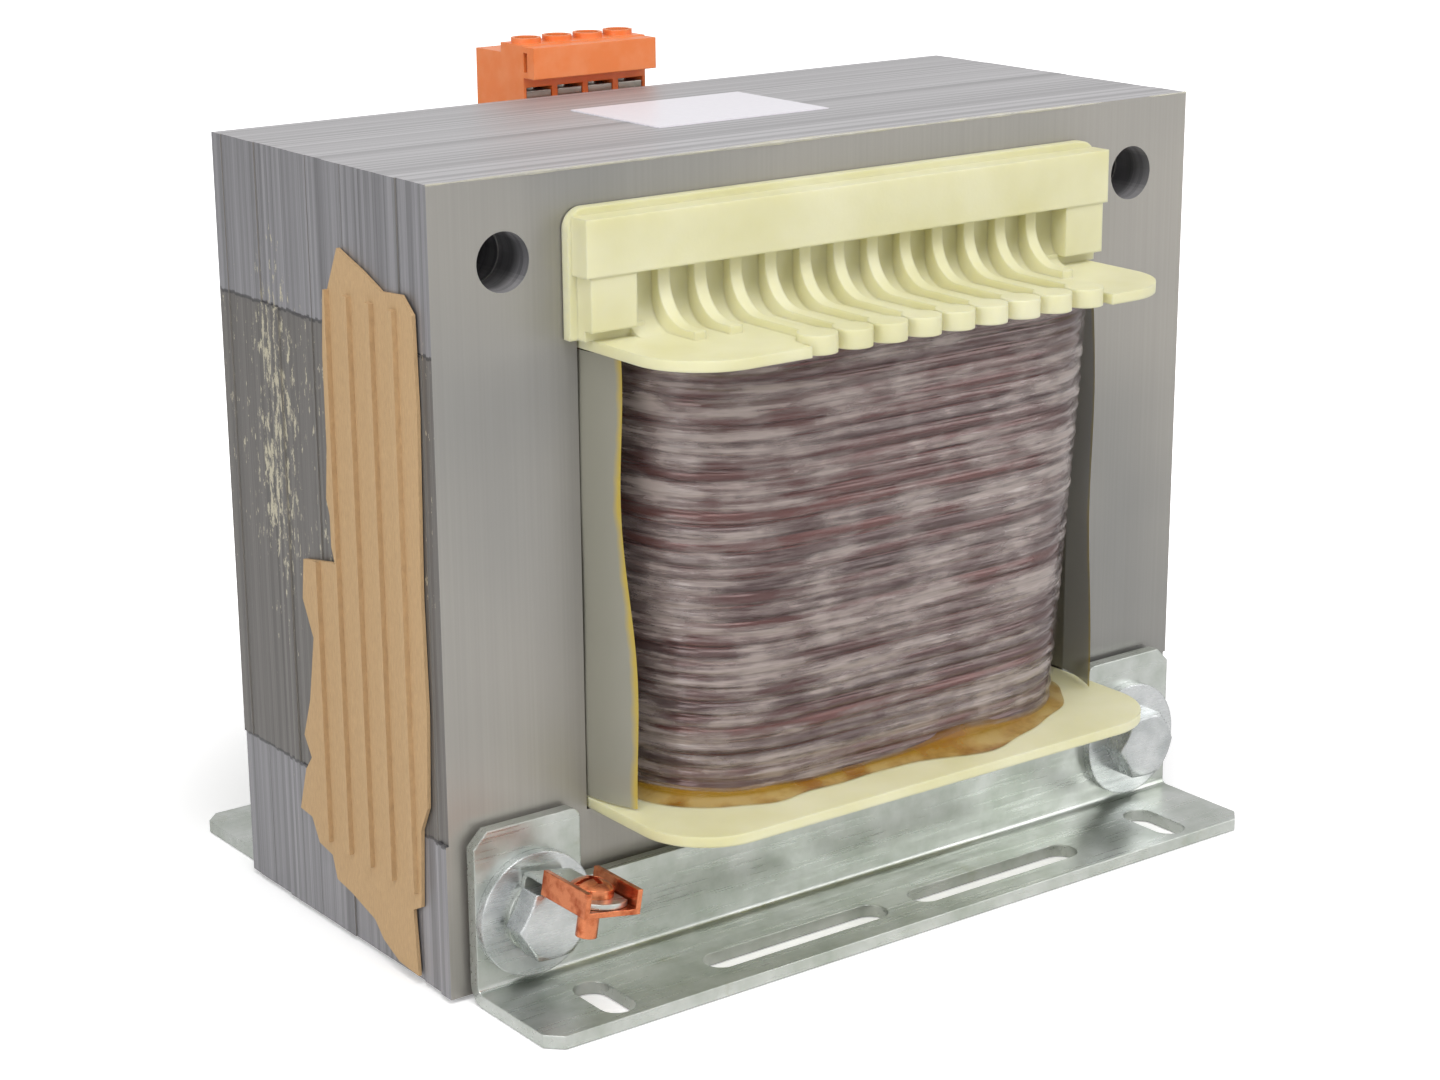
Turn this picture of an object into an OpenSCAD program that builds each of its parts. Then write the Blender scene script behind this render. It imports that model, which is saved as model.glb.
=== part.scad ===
// Laminated chassis transformer: an interleaved E and I core on two slotted
// foot brackets, a flanged former with wire guides, a taped winding, a
// four-pole terminal block at the back and an earth terminal at the front.
// Millimetres. X runs along the feet, Y from front to back, Z up.
// The origin is at the middle of the foot slots, on the surface it stands on.

/* [Core] */
// Width of an outer leg and of a yoke of the laminations
leg_w = 30; // [26:1:38]
// Depth of the stack of laminations
stack_d = 77.5; // [62:0.5:95]
// Thickness of the first and last group of laminations
outer_pack_t = 3.5; // [2:0.5:6]
// Number of groups of laminations, laid in turn with the yoke up and down
packs = 13; // [9:2:17]
// How far the groups stand out of line at the edges
stagger = 0.18; // [0:0.02:0.3]
// Diameter of the holes in the corners of the laminations
core_hole_d = 10.8; // [10.4:0.2:13]

/* [Former] */
// Wall of the former's tube
tube_wall = 1.5; // [1:0.1:2.5]
// Thickness of the two flanges
flange_t = 2; // [1.5:0.1:3]
// How far the flanges reach out of the core's faces
flange_reach = 32; // [29:0.5:38]
// Radius of the flanges' corners
flange_r = 14; // [8:1:20]
// Pitch of the wire guides
guide_pitch = 8; // [7:0.5:9]
// Number of wire guides on a side
guides = 12; // [8:2:12]
// Thickness of a wire guide
guide_t = 2.6; // [1.6:0.2:3.4]
// Height of the carrier's front bar
bar_h = 10.4; // [8:0.2:13]
// How far the bar stands out of its back plate
bar_d = 4.7; // [3:0.1:6]
// Length of the bar
bar_l = 124.4; // [118:0.2:140]
// Thickness of the back plate of a carrier
plate_t = 2; // [1.5:0.1:3]

/* [Winding] */
// Diameter of the wire of the outer winding
wire_d = 2.5; // [1.6:0.1:3]
// Thickness of the inner winding
inner_build = 11; // [7:0.5:12]
// Thickness of the outer winding
outer_build = 9.9; // [5.5:0.1:10]
// Thickness of the insulation between the windings
interlayer_t = 0.8; // [0.4:0.1:1.5]
// How much further the outer winding bulges out of the core than at its sides
bulge = 2; // [0:0.5:3]
// Thickness of the outer tape
tape_t = 0.25; // [0.15:0.05:0.5]
// Radius of the outer winding's corners
coil_r = 23; // [18:1:25]
// How much narrower the winding is at each side of its lower end
taper = 3; // [0:0.5:3.5]
// Thickness of the films between the winding and the outer legs
film_t = 0.35; // [0.2:0.05:0.5]
// How far the films reach out of the core
film_reach = 10; // [5:0.5:16]

/* [Brackets] */
// Thickness of the brackets' sheet
sheet_t = 2.5; // [2:0.1:3.5]
// Length of a bracket
bracket_l = 174; // [166:1:190]
// How far a foot reaches out of the core's face
foot_reach = 28; // [25:0.5:36]
// Height of the ears above the ground
ear_h = 33.5; // [30:0.5:44]
// Width of an ear
ear_w = 23; // [21:0.5:28]
// Height of the bracket between the ears
mid_h = 19.5; // [12:0.5:26]
// Inner radius of the bend
bend_r = 1.2; // [0.8:0.1:2]
// Height of the core above the ground
core_lift = 0.8; // [0.5:0.1:3]
// Width of the slots in the feet
slot_w = 7; // [5.2:0.2:9]
// End-to-end length of the long slots
long_slot = 43; // [20:1:60]
// Distance from the middle to the centre of a long slot
long_slot_x = 25; // [20:0.5:33]
// End-to-end length of the short slots
short_slot = 15; // [10:0.5:17]
// Distance from the middle to the short slots
short_slot_x = 69.5; // [66:0.5:78]
// Distance between the slots of the two feet
slot_span_y = 115; // [110:0.5:122]

/* [Fasteners] */
// Diameter of the clamping bolts
bolt_d = 8; // [6:1:8]
// Width across the flats of their heads and nuts
bolt_af = 13; // [10:1:13]
// Height of a bolt's head
head_h = 5.3; // [4:0.1:6]
// Height of a nut
nut_h = 6.5; // [5:0.1:8]
// Length of thread beyond a nut
thread_end = 3; // [1:0.5:5]
// Outer diameter of the large washers
washer_d = 24; // [18:1:24]
// Thickness of the large washers
washer_t = 2; // [1.2:0.1:2.5]
// Thickness of the spring washers
spring_t = 2; // [1.4:0.1:2.4]
// Thickness of the insulating washers between core and bracket
insulator_t = 1.2; // [0.8:0.1:2]
// Wall of the insulating sleeves round the bolts
sleeve_wall = 0.4; // [0.3:0.1:0.5]

/* [Earth terminal] */
// Thickness of the earth tab
tab_t = 1; // [0.8:0.1:1.5]
// Width of the earth tab's arm
tab_w = 9; // [7:0.5:10]
// Length of the arm from the washer
tab_l = 22; // [20:0.5:26]
// How far the tab was turned as its bolt was tightened
tab_turn = 10; // [0:1:15]
// Outer width of the clamp round the tab
clamp_w = 12; // [11:0.5:13]
// Length of the clamp
clamp_l = 14; // [10:0.5:16]
// Thickness of the clamp's sheet
clamp_t = 1; // [0.6:0.1:1.2]
// Diameter of the earth screw's thread
earth_d = 4; // [3:0.5:5]
// Diameter of the earth screw's head
earth_head_d = 8; // [6:0.5:9]

/* [Terminal block] */
// Number of poles
poles = 4; // [2:1:6]
// Pitch of the poles
pole_pitch = 7.62; // [7:0.01:9]
// Height of the block's top above the core
block_top = 9.6; // [8:0.1:12]
// Depth of the block behind the carrier
block_d = 18; // [17:0.5:22]
// Width of a wire entry
entry_w = 5.4; // [4.8:0.1:6]
// Diameter of the terminal screws
pole_screw_d = 3.5; // [3:0.1:4]

/* [Label and dirt] */
// Length of the blank label on the core
label_l = 41; // [30:1:60]
// Width of the label
label_w = 30; // [20:1:40]
// Thickness of the label
label_t = 0.2; // [0.1:0.05:0.4]
// Thickness of the torn cardboard stuck to the left side
card_t = 0.7; // [0.3:0.1:1]
// Pitch of the flutes left on the cardboard
flute_pitch = 7.9; // [6:0.1:9]

/* [Hidden] */
$fn = 48;
fit = 0.3;                          // gap between pieces that only seat on each other
eps = 0.01;                         // overrun of a cut past the face it opens

// core
core_w = 6 * leg_w;
core_h = 5 * leg_w;
window_h = 3 * leg_w;
core_top = core_lift + core_h;
half_d = stack_d / 2;
hole_x = 2.5 * leg_w;
low_hole_z = core_lift + leg_w / 2;
high_hole_z = core_lift + 4.5 * leg_w;
inner_pack_t = (stack_d - 2 * outer_pack_t) / (packs - 2);
bar_step = 0.5;                     // the first I bars stand out by this much

// former
tube_fit = 0.5;                     // gap between the centre leg and the tube
tube_x = leg_w + tube_fit;          // half of the tube's inner width
tube_y = half_d + tube_fit;
tube_ox = tube_x + tube_wall;
tube_oy = tube_y + tube_wall;
window_z0 = core_lift + leg_w;
window_z1 = window_z0 + window_h;
low_flange_z = window_z0 + fit;
high_flange_z = window_z1 - fit - flange_t;
flange_x = 2 * leg_w - tube_fit;    // half of the flanges' length
flange_y = half_d + flange_reach;
tube_z0 = low_flange_z + flange_t;
tube_h = high_flange_z - tube_z0;
guide_floor = high_flange_z + flange_t;
plate_y = half_d + fit + plate_t;   // outer face of a carrier's back plate
plate_top = core_top - 6.8;
plate_l = bar_l + 1.4;
bar_top = plate_top - 1.4;
bar_z = bar_top - bar_h;
bar_y = plate_y + bar_d;            // outer face of the bar
end_block_w = 9.8;
end_block_l = bar_l - 2;
guide_rise = 1.5;                   // height of a guide on the flange
guide_root = 2.2;                   // depth of a guide on the back plate
guide_bend_r = 8;
web_r = 6;                          // fillet between the back plate and the flange
lobe_r = 3.7;
lobe_y = flange_y - lobe_r;
lobe_first = 2;                     // guides before this one end short of the edge
notch_y = flange_y - 3;

// winding, from the inside out
coil_z0 = tube_z0 + fit;
coil_h = tube_h - 2 * fit;
inner_x = tube_ox + fit;
inner_y = tube_oy + fit;
mid_x = inner_x + inner_build;
mid_y = inner_y + inner_build;
second_x = mid_x + interlayer_t;
second_y = mid_y + interlayer_t;
coil_x = second_x + outer_build;    // half-width of the outer winding
coil_y = second_y + outer_build + bulge;
turns = floor((coil_h - 1) / (wire_d + 0.06));
turn_pitch = (coil_h - 1) / turns;
groove_w = 0.5;                     // width and depth of the groove between turns
groove_d = 0.5;
courses = 5;                        // courses of film round the winding
film_x = 2 * leg_w - fit - film_t;
film_bend_r = 16;

// brackets
leg_back_y = half_d + insulator_t;
leg_front_y = leg_back_y + sheet_t;
foot_y = half_d + foot_reach;
slot_y = slot_span_y / 2;
corner_cut = 3;

// fasteners
bolt_clear = 0.3;                   // radial gap round a bolt's shank
head_y = leg_front_y + washer_t;
end_y = leg_front_y + washer_t + spring_t + nut_h + thread_end;

// terminal block
block_w = poles * pole_pitch;
block_y0 = bar_y + fit;             // face that leans on the carrier's bar
block_y1 = block_y0 + block_d;
block_step_y = block_y0 + 8.4;
block_z1 = core_top + block_top;
block_z0 = bar_z - 0.5;
step_drop = 2;
ledge_d = 4;
ledge_h = 6.6;
funnel_y = block_y0 + 4.6;
funnel_r = 3.1;
entry_z = block_z1 - 14;
entry_d = 11;
cage_y1 = block_y1 - entry_d - fit;
cage_l = 6.5;
tag_w = 3;
tag_t = 0.8;
tag_y = block_y0 + 2.4;
tag_drop = 5;
lead_d = 2;
lead_z = guide_floor + guide_rise + lead_d / 2 + 0.3;
valley_y = lobe_y + sqrt(pow(lobe_r + lead_d / 2 + 0.1, 2) - pow(guide_pitch / 2, 2));

// ---------- helpers ----------

function odd(i) = i % 2 == 1;
function pack_y(i) = -half_d + (i == 0 ? 0 : outer_pack_t + (i - 1) * inner_pack_t);
function pack_t(i) = (i == 0 || i == packs - 1) ? outer_pack_t : inner_pack_t;
function drift(i, turn) = stagger * sin(i * 139 + turn);
function pole_x(i) = (i - (poles - 1) / 2) * pole_pitch;
function guide_x(i) = (i - (guides - 1) / 2) * guide_pitch;

// Stands a flat outline drawn in X and Z upright, from y0 to y0 + depth.
module upright(y0, depth) {
  translate([0, y0 + depth, 0]) rotate([90, 0, 0]) linear_extrude(depth) children();
}

// Carries an outline drawn in Y and Z along X, from x0 to x0 + length.
module along_x(x0, length) {
  translate([x0, 0, 0]) rotate([90, 0, 90]) linear_extrude(length) children();
}

module both_sides() {
  children();
  mirror([1, 0, 0]) children();
}

module front_and_back() {
  children();
  mirror([0, 1, 0]) children();
}

module four_corners() {
  both_sides() front_and_back() children();
}

// A flat rectangle, centred, with round corners.
module round_rect(w, h, r) {
  square([w - 2 * r, h], center = true);
  square([w, h - 2 * r], center = true);
  for (x = [-1, 1], y = [-1, 1]) translate([x * (w / 2 - r), y * (h / 2 - r)]) circle(r);
}

// A slot with round ends, end to end along X.
module slot(length, width) {
  square([length - width, width], center = true);
  for (s = [-1, 1]) translate([s * (length - width) / 2, 0]) circle(d = width);
}

// A cylinder lying along Y, from y0 to y1.
module y_rod(r, y0, y1) {
  translate([0, y1, 0]) rotate([90, 0, 0]) cylinder(r = r, h = y1 - y0);
}

// A hexagon standing upright, its flats chamfered at the outer end.
module hex_block(af, y0, y1) {
  corner_r = af / sqrt(3);
  slope = 0.5;
  intersection() {
    translate([0, y1, 0]) rotate([90, 0, 0]) cylinder(r = corner_r, h = y1 - y0, $fn = 6);
    union() {
      y_rod(corner_r + 1, y0 + (corner_r - af / 2 + 0.3) * slope, y1 + eps);
      translate([0, y0, 0]) rotate([-90, 0, 0])
        cylinder(r1 = af / 2 - 0.2, r2 = corner_r + 0.2, h = (corner_r - af / 2 + 0.4) * slope);
    }
  }
}

// ---------- core ----------

module e_outline() {
  difference() {
    translate([-core_w / 2, leg_w]) square([core_w, core_h - leg_w]);
    for (x = [-2 * leg_w, leg_w]) translate([x, leg_w - eps]) square([leg_w, window_h + eps]);
    for (s = [-1, 1]) translate([s * hole_x, core_h - leg_w / 2]) circle(d = core_hole_d);
  }
}

module i_outline() {
  difference() {
    translate([-core_w / 2, 0]) square([core_w, leg_w]);
    for (s = [-1, 1]) translate([s * hole_x, leg_w / 2]) circle(d = core_hole_d);
  }
}

module core_pack(i, turn) {
  translate([drift(i, turn), 0, core_lift]) upright(pack_y(i), pack_t(i)) children();
}

module turned_over() {
  translate([0, core_h]) mirror([0, 1]) children();
}

module e_laminations_up() {
  color("#8c8b87") for (i = [0 : 2 : packs - 1]) core_pack(i, 20) e_outline();
}

module e_laminations_down() {
  color("#85848a") for (i = [1 : 2 : packs - 1]) core_pack(i, 75) turned_over() e_outline();
}

module i_laminations_bottom() {
  color("#959490") for (i = [0 : 2 : packs - 1])
    translate([i == 0 ? -bar_step : 0, 0, 0]) core_pack(i, 200) i_outline();
}

module i_laminations_top() {
  color("#959490") for (i = [1 : 2 : packs - 1]) core_pack(i, 280) turned_over() i_outline();
}

// ---------- former ----------

module former_tube() {
  color("#d8d8a4") translate([0, 0, tube_z0]) linear_extrude(tube_h) difference() {
    round_rect(2 * tube_ox, 2 * tube_oy, 1.5);
    square([2 * tube_x, 2 * tube_y], center = true);
  }
}

module flange_plate(z) {
  translate([0, 0, z]) linear_extrude(flange_t) difference() {
    round_rect(2 * flange_x, 2 * flange_y, flange_r);
    square([2 * tube_x, 2 * tube_y], center = true);
  }
}

module lower_flange() {
  color("#d6d08c") flange_plate(low_flange_z);
}

// A wire guide seen from the side: down the back plate, round the bend and out
// along the flange. Drawn with the plate's face at 0, outwards.
module guide_side(root, rise, r, reach) {
  square([root, bar_z - guide_floor + 1]);
  square([reach, rise]);
  translate([root, rise]) difference() {
    square(r);
    translate([r, r]) circle(r);
  }
}

// Whether a guide runs all the way to a lobe at the flange's edge.
function has_lobe(i) = i >= lobe_first && i < guides - 1;

module wire_guides() {
  reach = lobe_y - plate_y;
  for (i = [0 : guides - 1])
    translate([0, plate_y, guide_floor]) along_x(guide_x(i) - guide_t / 2, guide_t)
      guide_side(guide_root, guide_rise, guide_bend_r, has_lobe(i) ? reach : reach / 2);
  for (i = [0 : guides - 1]) if (has_lobe(i))
    translate([guide_x(i), lobe_y, high_flange_z]) cylinder(r = lobe_r, h = flange_t + guide_rise);
  web_l = end_block_l - 2 * end_block_w;
  translate([0, plate_y, guide_floor]) along_x(-web_l / 2, web_l) difference() {
    square(web_r);
    translate([web_r, web_r]) circle(web_r);
  }
}

module carrier() {
  // back plate, with round upper corners
  upright(half_d + fit, plate_t) {
    translate([-plate_l / 2, guide_floor]) square([plate_l, plate_top - guide_floor - 4]);
    translate([0, plate_top - 4]) intersection() {
      round_rect(plate_l, 8, 3.9);
      translate([-plate_l / 2, -2]) square([plate_l, 6]);
    }
  }
  // front bar
  translate([-bar_l / 2, plate_y, bar_z]) cube([bar_l, bar_d, bar_h]);
  // end blocks and the ledges at their feet
  both_sides() {
    translate([end_block_l / 2 - end_block_w, plate_y, guide_floor + fit + 1.6])
      cube([end_block_w, bar_d - 0.3, bar_z - guide_floor - fit - 1.6]);
    translate([end_block_l / 2 - end_block_w - 3, plate_y, guide_floor])
      cube([end_block_w + 3, guide_root, 2.2]);
  }
  wire_guides();
}

module lobe_notches() {
  x0 = guide_x(lobe_first) - guide_pitch / 2;
  x1 = guide_x(guides - 2) + guide_pitch / 2;
  translate([x0, notch_y, high_flange_z - eps])
    cube([x1 - x0, flange_reach, flange_t + 2 * eps]);
}

module upper_flange() {
  color("#dcdcae") {
    difference() {
      flange_plate(high_flange_z);
      front_and_back() lobe_notches();
    }
    front_and_back() carrier();
  }
}

// ---------- winding ----------

module solid_ring(outer_x, outer_y, outer_r, in_x, in_y, in_r) {
  translate([0, 0, coil_z0]) linear_extrude(coil_h) difference() {
    round_rect(2 * outer_x, 2 * outer_y, outer_r);
    round_rect(2 * in_x, 2 * in_y, in_r);
  }
}

module inner_winding() {
  color("#a4603c") solid_ring(mid_x, mid_y, 6, inner_x, inner_y, 1.5);
}

module interwinding_insulation() {
  color("#e4d9a8") solid_ring(second_x, second_y, 6.5, mid_x, mid_y, 6);
}

// The outline of the outer winding at a height z above its lower end, moved
// out by a distance d. The winding grows a little from turn to turn.
module coil_outline(z, d) {
  lost = taper * (1 - z / coil_h);
  round_rect(2 * (coil_x - lost + d), 2 * (coil_y - 2 * lost + d), coil_r, $fn = 28);
}

module outer_winding() {
  color("#8e4a44") difference() {
    union() {
      translate([0, 0, coil_z0]) linear_extrude(coil_h) coil_outline(0, -groove_d);
      for (i = [0 : turns - 1])
        translate([0, 0, coil_z0 + 0.5 + i * turn_pitch + groove_w / 2])
          linear_extrude(turn_pitch - groove_w) coil_outline((i + 1) * turn_pitch, 0);
    }
    translate([0, 0, coil_z0 - eps]) linear_extrude(coil_h + 2 * eps)
      round_rect(2 * second_x + 0.1, 2 * second_y + 0.1, 6.5);
  }
}

// The film round the winding, in courses that each clear the turns under them.
module outer_tape() {
  course_h = coil_h / courses;
  color("#c9b9b4", 0.5) for (i = [0 : courses - 1])
    translate([0, 0, coil_z0 + i * course_h]) linear_extrude(course_h - 0.15) difference() {
      coil_outline((i + 1) * course_h + 1, 0.1 + tape_t);
      coil_outline((i + 1) * course_h + 1, 0.1);
    }
}

module window_films() {
  film_y = half_d + film_reach;
  straight_y = film_y - film_bend_r * sin(32);
  color("#b9bdb2", 0.6) both_sides() translate([0, 0, coil_z0]) linear_extrude(coil_h) {
    translate([film_x, -straight_y]) square([film_t, 2 * straight_y]);
    for (s = [-1, 1]) translate([film_x + film_t - film_bend_r, s * straight_y])
      rotate([0, 0, s > 0 ? 0 : -32]) film_arc(32);
  }
}

// An arc of film from the X axis round to the given angle.
module film_arc(angle) {
  difference() {
    intersection() {
      circle(film_bend_r);
      polygon([[0, 0], [2 * film_bend_r, 0], [2 * film_bend_r, 2 * film_bend_r * tan(angle)]]);
    }
    circle(film_bend_r - film_t);
  }
}

// ---------- brackets ----------

// The bracket seen from its end, in Y and Z, with the foot pointing to +Y.
module bracket_side() {
  outer_r = bend_r + sheet_t;
  translate([leg_back_y, outer_r]) square([sheet_t, ear_h - outer_r]);
  translate([leg_back_y + outer_r, 0]) square([foot_y - leg_back_y - outer_r, sheet_t]);
  translate([leg_back_y + outer_r, outer_r]) intersection() {
    translate([-outer_r, -outer_r]) square(outer_r);
    difference() {
      circle(outer_r);
      circle(bend_r);
    }
  }
}

module ear_outline_cuts() {
  half_l = bracket_l / 2;
  inner_x = half_l - ear_w;
  // the low stretch between the ears
  translate([-inner_x, mid_h]) square([2 * inner_x, ear_h]);
  for (s = [-1, 1]) scale([s, 1]) {
    // cut corner outside, small round corner inside
    translate([half_l, ear_h]) polygon([[eps, -corner_cut], [eps, eps], [-corner_cut, eps]]);
    translate([inner_x, ear_h - 2]) difference() {
      translate([-eps, 0]) square([2 + eps, 2 + eps]);
      translate([2, 0]) circle(2);
    }
  }
}

module foot_cuts() {
  half_l = bracket_l / 2;
  for (s = [-1, 1]) scale([s, 1]) {
    translate([long_slot_x, slot_y]) slot(long_slot, slot_w);
    translate([short_slot_x, slot_y]) rotate(90) slot(short_slot, slot_w);
    translate([half_l, foot_y]) polygon([[eps, -corner_cut], [eps, eps], [-corner_cut, eps]]);
  }
}

module bracket() {
  difference() {
    along_x(-bracket_l / 2, bracket_l) bracket_side();
    upright(leg_back_y - eps, sheet_t + 2 * eps) ear_outline_cuts();
    translate([0, 0, -eps]) linear_extrude(sheet_t + 2 * eps) foot_cuts();
    both_sides() translate([hole_x, 0, low_hole_z])
      y_rod(bolt_d / 2 + bolt_clear, leg_back_y - eps, leg_front_y + eps);
  }
}

module front_bracket() {
  color("#b9bdb4") mirror([0, 1, 0]) bracket();
}

module rear_bracket() {
  color("#b9bdb4") bracket();
}

// ---------- fasteners ----------

module at_bolts() {
  for (s = [-1, 1]) translate([s * hole_x, 0, low_hole_z]) children();
}

// The left bolt's head sits one tab thickness further out.
module clamping_bolts() {
  color("#c3c5c8") for (s = [-1, 1]) translate([s * hole_x, 0, low_hole_z]) {
    under_head = -head_y - (s < 0 ? tab_t : 0);
    y_rod(bolt_d / 2, under_head - 1, end_y);
    hex_block(bolt_af, under_head - head_h, under_head);
  }
}

module clamping_nuts() {
  nut_y = head_y + spring_t;
  color("#c3c5c8") at_bolts() mirror([0, 1, 0]) difference() {
    hex_block(bolt_af, -nut_y - nut_h, -nut_y);
    y_rod(bolt_d / 2 + 0.05, -nut_y - nut_h - eps, -nut_y + eps);
  }
}

module large_washer(y0) {
  difference() {
    y_rod(washer_d / 2, y0, y0 + washer_t);
    y_rod(bolt_d / 2 + bolt_clear, y0 - eps, y0 + washer_t + eps);
  }
}

module front_washers() {
  color("#c9cbcc") at_bolts() large_washer(-head_y);
}

module rear_washers() {
  color("#c9cbcc") at_bolts() large_washer(leg_front_y);
}

module spring_washers() {
  outer_r = bolt_af / 2 + 0.4;
  color("#9fa1a3") at_bolts() difference() {
    y_rod(outer_r, head_y, head_y + spring_t);
    y_rod(bolt_d / 2 + bolt_clear, head_y - eps, head_y + spring_t + eps);
    rotate([0, 0, 20]) translate([head_y * sin(20) - 0.6, head_y * cos(20) - 4, 0])
      cube([1.2, 12, outer_r + 1]);
  }
}

module insulating_washers() {
  color("#7a4a2a") front_and_back() at_bolts() difference() {
    y_rod(10, half_d, leg_back_y);
    y_rod(bolt_d / 2 + bolt_clear, half_d - eps, leg_back_y + eps);
  }
}

module bolt_sleeves() {
  color("#ded9c2") at_bolts() difference() {
    y_rod(bolt_d / 2 + 0.05 + sleeve_wall, -half_d, half_d);
    y_rod(bolt_d / 2 + 0.05, -half_d - eps, half_d + eps);
  }
}

// ---------- earth terminal ----------

arm_z = bolt_af / sqrt(3) + 0.6;    // underside of the arm above the bolt's axis
tab_y = -head_y;                    // front face of the washer
screw_y = tab_y - tab_l + 6.5;
clamp_y = screw_y - clamp_l / 2;

// Places a piece on the left bolt, turned as the tab was.
module at_earth() {
  translate([-hole_x, 0, low_hole_z]) rotate([0, tab_turn, 0]) children();
}

module earth_tab() {
  bend = 1.2;
  color("#c3c5bf") at_earth() difference() {
    union() {
      // round plate under the bolt's head
      y_rod(tab_w / 2 + 2.5, tab_y - tab_t, tab_y);
      upright(tab_y - tab_t, tab_t) translate([-tab_w / 2, 0]) square([tab_w, arm_z - bend]);
      // bend and arm
      along_x(-tab_w / 2, tab_w) {
        translate([tab_y - tab_t - bend, arm_z - bend]) intersection() {
          square(bend + tab_t);
          difference() {
            circle(bend + tab_t);
            circle(bend);
          }
        }
        translate([tab_y - tab_l + 2, arm_z]) square([tab_l - 2 - tab_t - bend, tab_t]);
      }
      translate([0, tab_y - tab_l + 2, arm_z]) linear_extrude(tab_t) intersection() {
        slot_end = tab_w / 2;
        translate([0, 5]) circle(7);
        translate([-slot_end, -2]) square([tab_w, 3]);
      }
    }
    y_rod(bolt_d / 2 + bolt_clear, tab_y - tab_t - eps, tab_y + eps);
    translate([0, screw_y, arm_z - eps]) cylinder(d = earth_d + 0.4, h = tab_t + 2 * eps);
  }
}

// A channel under the arm, with its walls turned up at both sides.
module earth_clamp() {
  floor_z = arm_z - clamp_t - 0.1;
  color("#c0694a") at_earth() difference() {
    union() {
      translate([-clamp_w / 2, clamp_y, floor_z]) cube([clamp_w, clamp_l, clamp_t]);
      for (x = [-clamp_w / 2, clamp_w / 2 - clamp_t])
        translate([x, clamp_y, floor_z]) cube([clamp_t, clamp_l, clamp_t + tab_t + 2.6]);
    }
    translate([0, screw_y, floor_z - eps]) cylinder(d = earth_d + 0.2, h = clamp_t + 2 * eps);
  }
}

module earth_screw() {
  head_h0 = 3;
  top = arm_z + tab_t;
  color("#c8744f") at_earth() translate([0, screw_y, 0]) difference() {
    union() {
      translate([0, 0, arm_z - 7]) cylinder(d = earth_d, h = 7 + tab_t + eps);
      translate([0, 0, top]) intersection() {
        cylinder(d = earth_head_d, h = head_h0);
        translate([0, 0, head_h0 - 6.2]) sphere(6.2);
      }
    }
    translate([-earth_head_d, -0.6, top + head_h0 - 1.4]) cube([2 * earth_head_d, 1.2, 3]);
    translate([-0.6, -2.4, top + head_h0 - 1.9]) cube([1.2, 4.8, 3]);
  }
}

// ---------- terminal block ----------

// The housing seen from its end, in Y and Z.
module housing_side() {
  // main body, its lower step at the back and the saddle over the carrier
  translate([block_y0, block_z0]) square([block_step_y - block_y0, block_z1 - block_z0]);
  translate([block_step_y - 1, block_z0])
    square([block_y1 - block_step_y + 1, block_z1 - step_drop - block_z0]);
  translate([plate_y, bar_top + fit]) square([block_y0 - plate_y + 1, 4.6]);
  // marker ledge, held by a thin floor and roof round a groove
  difference() {
    translate([block_y0 - ledge_d, block_z1 - ledge_h]) square([ledge_d + 1, ledge_h - 0.2]);
    translate([block_y0 - 1.5, block_z1 - ledge_h + 1.2]) square([1.3, 4]);
  }
}

module housing_pole() {
  // screwdriver funnel, wire entry and the room for the cage
  translate([0, funnel_y, block_z1 - 9]) cylinder(r = funnel_r - 0.7, h = 12);
  translate([-entry_w / 2, block_y1 - entry_d, entry_z - entry_w / 2])
    cube([entry_w, entry_d + eps, entry_w]);
  translate([-cage_room / 2, cage_y1 - cage_l - fit, entry_z - cage_room / 2 - 0.2])
    cube([cage_room, cage_l + 2 * fit, cage_room + 2.4]);
  translate([-tag_w / 2 - 0.1, tag_y - 0.1, block_z0 - eps])
    cube([tag_w + 0.2, tag_t + 0.2, entry_z - block_z0]);
}
cage_room = entry_w + 0.9;

module terminal_housing() {
  color("#e2783a") difference() {
    union() {
      along_x(-block_w / 2, block_w) housing_side();
      for (i = [0 : poles - 1])
        translate([pole_x(i), funnel_y, block_z1 - 1]) cylinder(r = funnel_r, h = 2.1);
    }
    for (i = [0 : poles - 1]) translate([pole_x(i), 0, 0]) housing_pole();
  }
}

module terminal_cages() {
  side = cage_room - 0.4;
  color("#b8bab6") for (i = [0 : poles - 1])
    translate([pole_x(i), cage_y1 - cage_l, entry_z]) difference() {
      translate([-side / 2, 0, -side / 2]) cube([side, cage_l, side + 1.6]);
      translate([-side / 2 + 0.9, -eps, -side / 2 + 0.9]) cube([side - 1.8, cage_l + 2 * eps, side - 1.8]);
      translate([0, funnel_y - cage_y1 + cage_l, 0]) cylinder(d = pole_screw_d + 0.1, h = side);
    }
}

module terminal_screws() {
  foot_z = entry_z + entry_w / 2 - 0.9;
  head_z = entry_z + cage_room / 2 + 2.6;
  color("#c6c8c6") for (i = [0 : poles - 1]) translate([pole_x(i), funnel_y, 0]) difference() {
    union() {
      translate([0, 0, foot_z]) cylinder(d = pole_screw_d, h = head_z - foot_z + eps);
      translate([0, 0, head_z]) cylinder(r = funnel_r - 0.9, h = 1.8);
    }
    translate([-funnel_r, -0.4, head_z + 0.8]) cube([2 * funnel_r, 0.8, 3]);
  }
}

module terminal_tags() {
  color("#cdb27a") for (i = [0 : poles - 1])
    translate([pole_x(i) - tag_w / 2, tag_y, block_z0 - tag_drop])
      cube([tag_w, tag_t, tag_drop + entry_z - block_z0 - 5]);
}

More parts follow.
